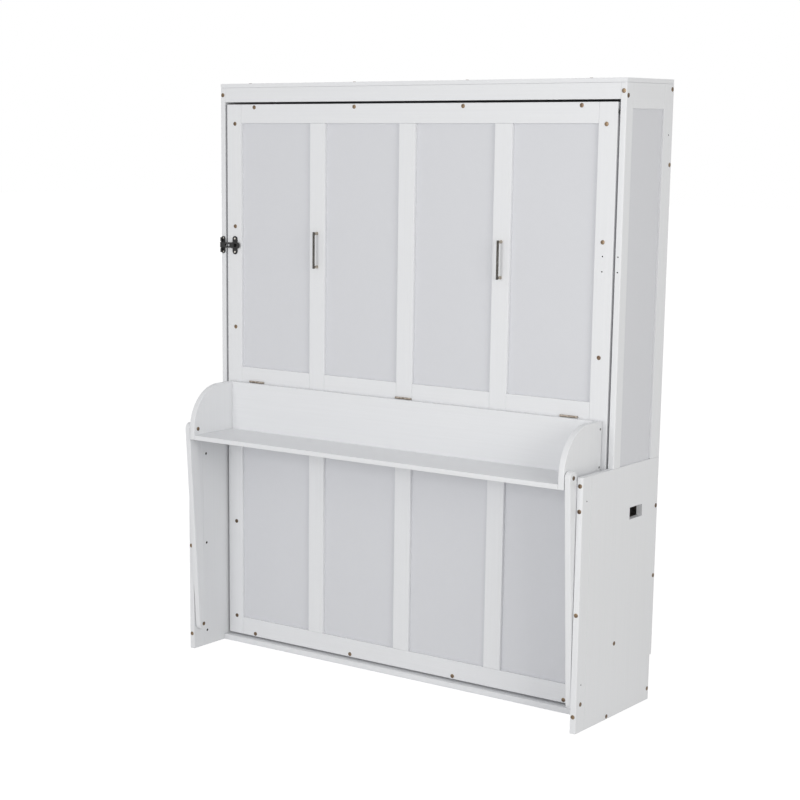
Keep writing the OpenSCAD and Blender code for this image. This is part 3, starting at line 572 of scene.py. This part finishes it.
def domed_blank(tree, given):
    """A low button: a short cylinder whose top swells by 45 % of its height. It stands on z = 0."""
    blank = node(tree, "GeometryNodeMeshCylinder", {"Vertices": 32, "Fill Segments": 5,
                                                    "Radius": given["Head Radius"],
                                                    "Depth": given["Head Height"]})
    lift = node(tree, "ShaderNodeMath", {0: given["Head Height"], 1: 0.5}, operation="MULTIPLY")
    up = node(tree, "ShaderNodeCombineXYZ", {"Z": lift.outputs[0]})
    standing = node(tree, "GeometryNodeTransform", {"Geometry": blank.outputs[0],
                                                         "Translation": up.outputs[0]})
    place = node(tree, "ShaderNodeSeparateXYZ", {0: node(tree, "GeometryNodeInputPosition").outputs[0]})
    flat = node(tree, "ShaderNodeCombineXYZ", {"X": place.outputs[0], "Y": place.outputs[1]})
    away = node(tree, "ShaderNodeVectorMath", {0: flat.outputs[0]}, operation="LENGTH")
    share = node(tree, "ShaderNodeMath", {0: away.outputs["Value"], 1: given["Head Radius"]},
                 operation="DIVIDE")
    # A power just over 2 leaves the middle of the dome a little flatter than a ball's
    curve = node(tree, "ShaderNodeMath", {0: share.outputs[0], 1: 2.2}, operation="POWER")
    drop = node(tree, "ShaderNodeMath", {0: curve.outputs[0], 1: given["Head Height"]}, operation="MULTIPLY")
    fall = node(tree, "ShaderNodeMath", {0: drop.outputs[0], 1: -0.45}, operation="MULTIPLY")
    top = node(tree, "FunctionNodeCompare", {0: place.outputs[2], 1: lift.outputs[0]},
               operation="GREATER_THAN")
    sink = node(tree, "ShaderNodeCombineXYZ", {"Z": fall.outputs[0]})
    domed = node(tree, "GeometryNodeSetPosition", {"Geometry": standing.outputs[0],
                                                   "Selection": top.outputs[0],
                                                   "Offset": sink.outputs[0]})
    return domed.outputs[0]


socket_bolts, given = open_tree("socket_bolts", {"Head Radius": 0.0075, "Head Height": 0.0015,
                                                 "Socket Radius": 0.0031, "Shank Radius": 0.003})
key_hole = node(socket_bolts, "GeometryNodeMeshCylinder", {"Vertices": 6, "Radius": given["Socket Radius"],
                                                           "Depth": given["Head Height"]})
height = node(socket_bolts, "ShaderNodeMath", {0: given["Head Height"], 1: 0.85}, operation="MULTIPLY")
up = node(socket_bolts, "ShaderNodeCombineXYZ", {"Z": height.outputs[0]})
key_hole = node(socket_bolts, "GeometryNodeTransform", {"Geometry": key_hole.outputs[0],
                                                        "Translation": up.outputs[0]})
broached = node(socket_bolts, "GeometryNodeMeshBoolean", {"Mesh 1": domed_blank(socket_bolts, given),
                                                          "Mesh 2": key_hole.outputs[0]},
                operation="DIFFERENCE")
close_tree(socket_bolts, given, broached.outputs[0])


def grown(name, tree, places, finish, **sizes_mm):
    """One plain mesh of the fasteners that the tree grows on these seats."""
    mesh = bpy.data.meshes.new(name + "_seats")
    mesh.from_pydata([seat for seat, _, _ in places], [], [])
    mesh.attributes.new("facing", "FLOAT_VECTOR", "POINT").data.foreach_set(
        "vector", [c for _, facing, _ in places for c in facing])
    mesh.attributes.new("reach", "FLOAT", "POINT").data.foreach_set(
        "value", [length for _, _, length in places])
    piece = bpy.data.objects.new("turned_" + name, mesh)
    growth = piece.modifiers.new("fasteners", "NODES")
    growth.node_group = tree
    for item in tree.interface.items_tree:
        key = item.name.lower().replace(" ", "_")
        if item.in_out == "INPUT" and key in sizes_mm:
            growth[item.identifier] = sizes_mm[key] / 1000
        elif item.name == "Finish":
            growth[item.identifier] = finish
    scene.collection.objects.link(piece)
    depsgraph = bpy.context.evaluated_depsgraph_get()
    plain = bpy.data.meshes.new_from_object(piece.evaluated_get(depsgraph), depsgraph=depsgraph)
    piece.modifiers.remove(growth)
    piece.data = plain
    bpy.data.meshes.remove(mesh)
    plain.name = piece.name
    plain.shade_smooth()
    plain.set_sharp_from_angle(angle=math.radians(28))
    return piece


def fastened(name, tree, finish, slot, head_mm, shank_mm, **sizes_mm):
    """Stands for a node of fasteners, grown where the heads of its solids sit."""
    piece = grown(name, tree, seats(name, head_mm, shank_mm), finish, head_height=head_mm,
                  shank_radius=shank_mm, **sizes_mm)
    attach(piece, frame["nodes"][name]["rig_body"])
    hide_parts(name)


def plated(name, low, high, roughness, patch_mm=6.0):
    """A plated metal whose tone drifts between two colours over patches of that size, with fine tool marks
    that break up its reflections."""
    metal = bpy.data.materials.new(name)
    tree = bare_tree(metal)
    place = node(tree, "ShaderNodeTexCoord").outputs["Object"]
    patches = node(tree, "ShaderNodeTexNoise", {"Vector": place, "Scale": 1000 / patch_mm, "Detail": 3.0})
    marks = node(tree, "ShaderNodeTexNoise", {"Vector": place, "Scale": 1 / 0.0008, "Detail": 2.0})
    share = node(tree, "ShaderNodeMapRange", {"Value": patches.outputs[0], "From Min": 0.35,
                                              "From Max": 0.65})
    colour = node(tree, "ShaderNodeMix", {0: share.outputs[0], 6: linear(low), 7: linear(high)},
                  data_type="RGBA")
    gloss = node(tree, "ShaderNodeMapRange", {"Value": marks.outputs[0], "To Min": roughness - 0.08,
                                              "To Max": roughness + 0.08})
    bump = node(tree, "ShaderNodeBump", {"Height": marks.outputs[0], "Strength": 0.2, "Distance": 0.0001})
    skin = node(tree, "ShaderNodeBsdfPrincipled", {"Base Color": colour.outputs[2], "Metallic": 1.0,
                                                   "Roughness": gloss.outputs[0], "Normal": bump.outputs[0]})
    node(tree, "ShaderNodeOutputMaterial", {"Surface": skin.outputs[0]})
    return metal


# Antique bronze: dark brown in the hollows, greyish gold where the plating is rubbed
antique_bronze = plated("antique bronze plating", "#5C4C42", "#8A7760", 0.36, 30)

fastened("frame_bolts", socket_bolts, antique_bronze, "bronze_bolt", 1.5, 3.0)
fastened("stile_bolts", socket_bolts, antique_bronze, "bronze_bolt", 1.5, 3.0)
fastened("top_board_screws", socket_bolts, antique_bronze, "bronze_bolt", 1.5, 2.4, head_radius=6.0,
         socket_radius=2.5)


# ---------------------------------------------------------------- cross dowels
# Blackened steel barrels, pressed into blind holes in the inner faces of the lower sides. The bolts from
# the front edge pull on them, and their ends lie a little below the wood.

def lathed(profile_mm, places, bored=False, sides=40):
    """Points and faces of round pieces. The profile is (distance out of the seat, radius); each place is
    (centre of the seat, way it looks). A bored piece's profile closes on itself."""
    points, faces = [], []
    for seat, facing in places:
        facing = Vector(facing)
        across = facing.orthogonal().normalized()
        other = facing.cross(across)
        start = len(points)
        for out, radius in profile_mm:
            for i in range(sides):
                turn = 2 * math.pi * i / sides
                spoke = (across * math.cos(turn) + other * math.sin(turn)) * radius / 1000
                points.append(Vector(seat) + facing * out / 1000 + spoke)
        rings = len(profile_mm)
        for ring in range(rings if bored else rings - 1):
            here, there = start + ring * sides, start + (ring + 1) % rings * sides
            for i in range(sides):
                j = (i + 1) % sides
                faces.append((here + i, here + j, there + j, there + i))
        if not bored:
            faces.append([start + sides - 1 - i for i in range(sides)])
            faces.append([start + (rings - 1) * sides + i for i in range(sides)])
    return points, faces


def turned(name, profile_mm, places, finish, slot, bored=False):
    """Stands for a node of round pieces, turned to the profile."""
    return finished(name, [as_mesh("turned", *lathed(profile_mm, places, bored))], finish, slot)


def middles(name):
    """The box of each solid of a CAD node: (its low corner, its high corner, its middle)."""
    boxes = []
    for solid in solids_of(name):
        low = Vector([min(point.co[i] for point in solid.verts) for i in range(3)])
        high = Vector([max(point.co[i] for point in solid.verts) for i in range(3)])
        boxes.append((low, high, (low + high) / 2))
        solid.free()
    return boxes


blackened_steel = plated("blackened steel", "#3A3632", "#544E48", 0.45, 4)
dowels = [((low.x, middle.y, middle.z), (1, 0, 0)) for low, _, middle in middles("barrel_nuts")]
turned("barrel_nuts", [(0, 4.3), (0.25, 4.8), (0.8, 5), (13.2, 5), (13.75, 4.8), (14, 4.3)], dowels,
       blackened_steel, "steel")


# ---------------------------------------------------------------- pivots on the cabinet
# The bed turns on two heavy bronze plated bolts low in the sides, held off them by steel sleeves. The swing
# arms turn on lighter bolts near the floor, with a washer behind each arm and a cap on the inner end.

fastened("bed_pivot_bolts", socket_bolts, antique_bronze, "bronze_bolt", 1.5, 6.0)
fastened("arm_pivot_bolts", socket_bolts, antique_bronze, "bronze_bolt", 1.5, 4.0)
bright_zinc = plated("bright zinc plating", "#A9A8A4", "#C9C8C2", 0.30, 4)
for name, bore, edge in (("pivot_spacers", 6, 0.7), ("arm_washers", 4, 0.3)):
    sleeves = middles(name)
    low, high, _ = sleeves[0]
    long, rim = (high.x - low.x) * 1000, (high.y - low.y) * 500
    profile = [(0, bore), (0, rim - edge), (edge * 0.3, rim - edge * 0.3), (edge, rim), (long - edge, rim),
               (long - edge * 0.3, rim - edge * 0.3), (long, rim - edge), (long, bore)]
    places = [((low.x, middle.y, middle.z), (1, 0, 0)) for low, _, middle in sleeves]
    turned(name, profile, places, bright_zinc, "steel", bored=True)


# ---------------------------------------------------------------- buffer beside the bed
# A black rubber pad glued to the right post, level with the top of the bed. The bed settles against it when
# it closes.

def moulded(name, low, high, roughness, grain_mm):
    """Moulded or coated black: nearly even, with a fine grain that keeps its highlights dull."""
    skin_of = bpy.data.materials.new(name)
    tree = bare_tree(skin_of)
    place = node(tree, "ShaderNodeTexCoord").outputs["Object"]
    grain = node(tree, "ShaderNodeTexNoise", {"Vector": place, "Scale": 1000 / grain_mm, "Detail": 3.0})
    colour = node(tree, "ShaderNodeMix", {0: grain.outputs[0], 6: linear(low), 7: linear(high)},
                  data_type="RGBA")
    gloss = node(tree, "ShaderNodeMapRange", {"Value": grain.outputs[0], "To Min": roughness - 0.08,
                                              "To Max": roughness + 0.08})
    bump = node(tree, "ShaderNodeBump", {"Height": grain.outputs[0], "Strength": 0.4, "Distance": 0.0002})
    skin = node(tree, "ShaderNodeBsdfPrincipled", {"Base Color": colour.outputs[2],
                                                   "Roughness": gloss.outputs[0],
                                                   "Normal": bump.outputs[0], "IOR": 1.5})
    node(tree, "ShaderNodeOutputMaterial", {"Surface": skin.outputs[0]})
    return skin_of


rubber = moulded("black moulded rubber", "#141414", "#222222", 0.72, 1.2)
low, high, middle = middles("gap_buffer")[0]
turned("gap_buffer", [(0, 9), (4.4, 9), (5.7, 8.6), (6.3, 7.6), (6.5, 6)], [((high.x, middle.y, middle.z),
       (-1, 0, 0))], rubber, "rubber")


# ---------------------------------------------------------------- side latch
# A cast hasp in black powder coat: a plate with two barrels on the left post, a slotted loop that swings on
# their pin, and a plate with a round knob on the bed. Bright cross head screws hold both plates.

powder_coat = moulded("black powder coat", "#0A0A0C", "#141416", 0.58, 0.9)


def slab(name, thick_mm, edge_mm, beyond_mm=0):
    """A rounded blank under the broadest flat side of a node, reaching as far beyond that side as given."""
    solid = solids_of(name)[0]
    axis, upward, level, outline = broad_side(solid)
    solid.free()
    way = 0.001 if upward else -0.001
    low, high = sorted((level - way * thick_mm, level + way * beyond_mm))
    return rounded_blank(outline, axis, low, high, edge_mm / 1000)


def cast(name, blanks, finish, slot):
    """Stands for a one-solid node, held inside its rounded blanks, as a casting with softened edges is."""
    solid = solids_of(name)[0]
    mesh = bpy.data.meshes.new("solid")
    solid.to_mesh(mesh)
    solid.free()
    blank = blanks[0]
    for other in blanks[1:]:
        blank = combined(blank, other, "UNION")
    finished(name, [combined(mesh, blank, "INTERSECT")], finish, slot)


def barrel(radius_mm, low_mm, high_mm, edge_mm):
    """A lathed blank on the latch's pin, its ends rounded, from one height to another about the middle."""
    long, full = high_mm - low_mm, radius_mm + 0.02
    profile = [(0, full - edge_mm), (edge_mm * 0.3, full - edge_mm * 0.3), (edge_mm, full),
               (long - edge_mm, full), (long - edge_mm * 0.3, full - edge_mm * 0.3), (long, full - edge_mm)]
    seat = (latch_pin.x, latch_pin.y, latch_pin.z + low_mm / 1000)
    return as_mesh("barrel", *lathed(profile, [(seat, (0, 0, 1))], sides=64))


latch_pin = Vector((-0.863, -0.009, 1.576))
pieces = [slab("latch_hasp_plate", 3, 0.9, beyond_mm=1), barrel(2, -14.9, 14.9, 0.1)]
for low, high in ((13.8, 28.6), (-28.6, -13.8)):
    pieces.append(barrel(4, low, high, 0.7))
    x, y, z = latch_pin
    leg = [Vector(((y - 0.001), z + (low + 0.2) / 1000)), Vector((0, z + (low + 0.2) / 1000)),
           Vector((0, z + (high - 0.2) / 1000)), Vector((y - 0.001, z + (high - 0.2) / 1000))]
    pieces.append(rounded_blank(leg, 0, x - 0.004, x + 0.002, 0.0005))
cast("latch_hasp_plate", pieces, powder_coat, "black_iron")
cast("latch_loop", [slab("latch_loop", 6, 1.2), barrel(5, -10.5, 10.5, 0.8)], powder_coat, "black_iron")
knob_x = -0.797
knob = [(0.5, 3.52), (14.99, 3.52), (14.99, 5.1), (15.3, 5.5), (15.9, 5.82), (20.0, 5.82), (21.1, 5.4),
        (21.8, 4.5), (22.01, 3.4)]
knob_blank = as_mesh("knob", *lathed(knob, [((knob_x, 0, latch_pin.z), (0, -1, 0))], sides=64))
cast("latch_keeper", [slab("latch_keeper", 3, 0.9, beyond_mm=1), knob_blank], powder_coat, "black_iron")

cross_screws, given = open_tree("cross_head_screws", {"Head Radius": 0.0035, "Head Height": 0.001,
                                                      "Cross Length": 0.0042, "Cross Width": 0.0009,
                                                      "Shank Radius": 0.0025})
height = node(cross_screws, "ShaderNodeMath", {0: given["Head Height"], 1: 0.9}, operation="MULTIPLY")
up = node(cross_screws, "ShaderNodeCombineXYZ", {"Z": height.outputs[0]})
one_way = node(cross_screws, "ShaderNodeCombineXYZ", {"X": given["Cross Length"], "Y": given["Cross Width"],
                                                      "Z": given["Head Height"]})
other_way = node(cross_screws, "ShaderNodeCombineXYZ", {"X": given["Cross Width"], "Y": given["Cross Length"],
                                                        "Z": given["Head Height"]})
crossed = node(cross_screws, "GeometryNodeMeshBoolean", {"Mesh 1": domed_blank(cross_screws, given)},
               solver="MANIFOLD", operation="DIFFERENCE")
for way in (one_way, other_way):
    slot_block = node(cross_screws, "GeometryNodeMeshCube", {"Size": way.outputs[0]})
    slot_block = node(cross_screws, "GeometryNodeTransform", {"Geometry": slot_block.outputs[0],
                                                              "Translation": up.outputs[0]})
    cross_screws.links.new(slot_block.outputs[0], crossed.inputs[1])
close_tree(cross_screws, given, crossed.outputs[0])

nickel = plated("bright nickel plating", "#C4C0B8", "#E0DCD4", 0.26, 3)
fastened("hasp_screws", cross_screws, nickel, "steel", 1.0, 2.5)
fastened("keeper_screws", cross_screws, nickel, "steel", 1.0, 2.5)


# ---------------------------------------------------------------- screws of the back sheets
# Small nickel plated screws hold each thin back sheet to every rail behind it, one near either edge and one
# in the middle.

rails = [rail for _, _, rail in middles("back_rails")]
tacks = []
for low, high, sheet in middles("back_sheets"):
    for rail in rails:
        if low.z < rail.z < high.z:
            tacks += [(Vector((x, low.y, rail.z)), Vector((0, -1, 0)), 0.016)
                      for x in (low.x + 0.02, sheet.x, high.x - 0.02)]
sheet_screws = grown("sheet_screws", cross_screws, tacks, nickel, head_radius=3.5, head_height=0.7,
                     cross_length=4.2, cross_width=0.9, shank_radius=1.5)
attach(sheet_screws, "cabinet")


# ---------------------------------------------------------------- face of the bed
# The closed bed shows a face frame of pine sticks: two stiles over the full height, a rail at the top and
# at the bottom, three mullions, and short rails between them behind the desk. The sticks are grooved.

for side, out in (("left", -1), ("right", 1)):
    eased(side + "_bed_stile", 1.4, sprayed_white("z"), soft_mm=3.0, soft_edge=(out, -1, 0))
eased("bed_top_rail", 1.4, sprayed_white("x"))
eased("bed_bottom_rail", 1.4, sprayed_white("x"))
eased("bed_mid_rails", 1.4, sprayed_white("x"))
eased("bed_mullions", 1.4, sprayed_white("z"))

# Eight sheets of the same pressed hardboard as in the sides stand loose in the grooves
refinished("upper_bed_sheets", hardboard)
refinished("lower_bed_sheets", hardboard)


# ---------------------------------------------------------------- boards round the mattress
# Four sawn boards behind the face, sprayed white like the rest, hold the mattress. The face is bolted to
# their front edges.

for side in ("left", "right"):
    eased(side + "_bed_side", 1.2, sprayed_white("z"))
eased("bed_head_board", 1.2, sprayed_white("x"))
eased("bed_foot_board", 1.2, sprayed_white("x"))


# ---------------------------------------------------------------- ledgers and slats
# Planed pine, left bare. Three ledgers are screwed to the back of the face, and thirteen slats lie across
# them under the mattress.

def planed_pine(grain):
    """Bare planed pine: warm straw, with darker late wood lines along the stick and a dull surface."""
    wood = bpy.data.materials.new("bare planed pine grain along " + grain)
    tree = bare_tree(wood)
    place = node(tree, "ShaderNodeTexCoord").outputs["Object"]
    # Rings 9 mm apart, drawn out over 600 mm along the stick
    rings_per_metre = [1 / 0.6 if axis == grain else 1 / 0.009 for axis in "xyz"]
    along = node(tree, "ShaderNodeMapping", {"Vector": place, "Scale": rings_per_metre})
    rings = node(tree, "ShaderNodeTexNoise", {"Vector": along.outputs[0], "Scale": 0.7, "Detail": 2.0,
                                              "Distortion": 1.5})
    pores = node(tree, "ShaderNodeTexNoise", {"Vector": along.outputs[0], "Scale": 6.0, "Detail": 4.0})
    late = node(tree, "ShaderNodeMapRange", {"Value": rings.outputs[0], "From Min": 0.42, "From Max": 0.62})
    colour = node(tree, "ShaderNodeMix", {0: late.outputs[0], 6: linear("#E0C69A"), 7: linear("#C49E6C")},
                  data_type="RGBA")
    bump = node(tree, "ShaderNodeBump", {"Height": pores.outputs[0], "Strength": 0.3, "Distance": 0.0003})
    gloss = node(tree, "ShaderNodeMapRange", {"Value": pores.outputs[0], "To Min": 0.58, "To Max": 0.74})
    skin = node(tree, "ShaderNodeBsdfPrincipled", {"Base Color": colour.outputs[2],
                                                   "Roughness": gloss.outputs[0],
                                                   "Normal": bump.outputs[0], "IOR": 1.5})
    node(tree, "ShaderNodeOutputMaterial", {"Surface": skin.outputs[0]})
    return wood


eased("slat_ledgers", 1.5, planed_pine("z"), "pine")
eased("bed_slats", 2.0, planed_pine("x"), "pine")

# A zinc plated screw holds each slat wherever it crosses a ledger
# The zinc is coloured darker than plating is, as painted shade of the holes that the screws sit in
zinc_darkened_as_painted_shade = plated("zinc plating darkened as painted shade", "#6E706E", "#8A8C88", 0.40, 3)
crossings = [(Vector((ledger.x, slat_high.y, slat.z)), Vector((0, 1, 0)), 0.028)
             for _, _, ledger in middles("slat_ledgers") for _, slat_high, slat in middles("bed_slats")]
slat_screws = grown("slat_screws", cross_screws, crossings, zinc_darkened_as_painted_shade, head_radius=3.8, head_height=0.6,
                    cross_length=4.6, cross_width=0.9, shank_radius=1.8)
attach(slat_screws, "bed")


# ---------------------------------------------------------------- bolts and bushes of the bed
# Twenty of the same bronze plated bolts go through the face into the boards behind it. Flanged steel bushes
# line the pivot holes in the side boards.

fastened("bed_face_bolts", socket_bolts, antique_bronze, "bronze_bolt", 1.5, 3.0)
eased("pivot_bushes", 0.4, bright_zinc, "steel")


# ---------------------------------------------------------------- pull handles
# Two bar pulls on the outer mullions: a flat nickel bar on two turned feet of satin nickel, screwed on from
# behind. The bar's dark colour is a painted reflection of a dark surround on its flat front.

# The bar's dark tone is a painted dark reflection on nickel
nickel_with_painted_dark_reflection = plated("black nickel plating", "#45423F", "#5A5855", 0.30, 12)
satin_nickel = plated("warm satin nickel", "#A89F92", "#C2B9AB", 0.34, 5)
eased("handle_bars", 1.4, nickel_with_painted_dark_reflection, "dark_bronze")

low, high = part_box("handle_feet")
foot_r = 0.006
feet = [((x, 0, z), (0, -1, 0)) for x in (low.x + foot_r, high.x - foot_r)
        for z in (low.z + foot_r, high.z - foot_r)]
turned("handle_feet", [(0, 6), (1.4, 6), (2.2, 5.7), (3.2, 5.2), (8, 4.9), (14, 5.0), (17, 5.5), (18.5, 5.6)],
       feet, satin_nickel, "bronze_bolt")


# ---------------------------------------------------------------- desk hinges
# Three steel butt hinges whose brass plating is worn pale. One leaf is screwed to the face of the bed and
# the other to the back of the desk, so that only their knuckles show along the desk's upper edge.

worn_brass = plated("worn brass plating", "#857A6E", "#BDB2A6", 0.36, 9)
refinished("bed_hinge_leaves", worn_brass)
refinished("desk_hinge_leaves", worn_brass)
refinished("hinge_pins", bright_zinc)


# ---------------------------------------------------------------- desk
# A shelf with a back and two ends whose upper front corner is a quarter round, all of the same sprayed
# board, screwed and glued. The edges are rounded over more than on the cabinet.

eased("desk_back", 1.5, sprayed_white("x"))
eased("desk_shelf", 2.0, sprayed_white("x"))
for side in ("left", "right"):
    eased(side + "_desk_end", 2.5, sprayed_white("z"))

# Countersunk screws hold each end to the back board. Their dark zinc is painted shade, as of screws sunk in
# dark holes
fastened("desk_screws", cross_screws, zinc_darkened_as_painted_shade, "steel", 0.6, 2.0, head_radius=4.0, cross_length=4.6,
         cross_width=1.0)

# Nailed plastic glides under the ends meet the floor when the bed is down
low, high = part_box("desk_glides")
glide_r = 0.009
glides = [((x, y, high.z), (0, 0, -1)) for x in (low.x + glide_r, high.x - glide_r)
          for y in (low.y + glide_r, high.y - glide_r)]
glide_plastic = moulded("black nylon", "#18181A", "#242427", 0.42, 1.0)
turned("desk_glides", [(0, 9), (3.6, 9), (4.8, 8.5), (5.6, 7.4), (6.0, 5.6), (6.0, 2.0), (5.2, 1.8)], glides,
       glide_plastic, "rubber")


# ---------------------------------------------------------------- swing arms
# Two long bars of the same board with round ends tie the desk to the lower sides. A bolt through the top of
# each arm carries the desk's end, with a collar between them and a cap inside the desk.

for side in ("left", "right"):
    eased(side + "_swing_arm", 2.5, sprayed_white("z"))
    refinished(side + "_arm_bolt", antique_bronze)
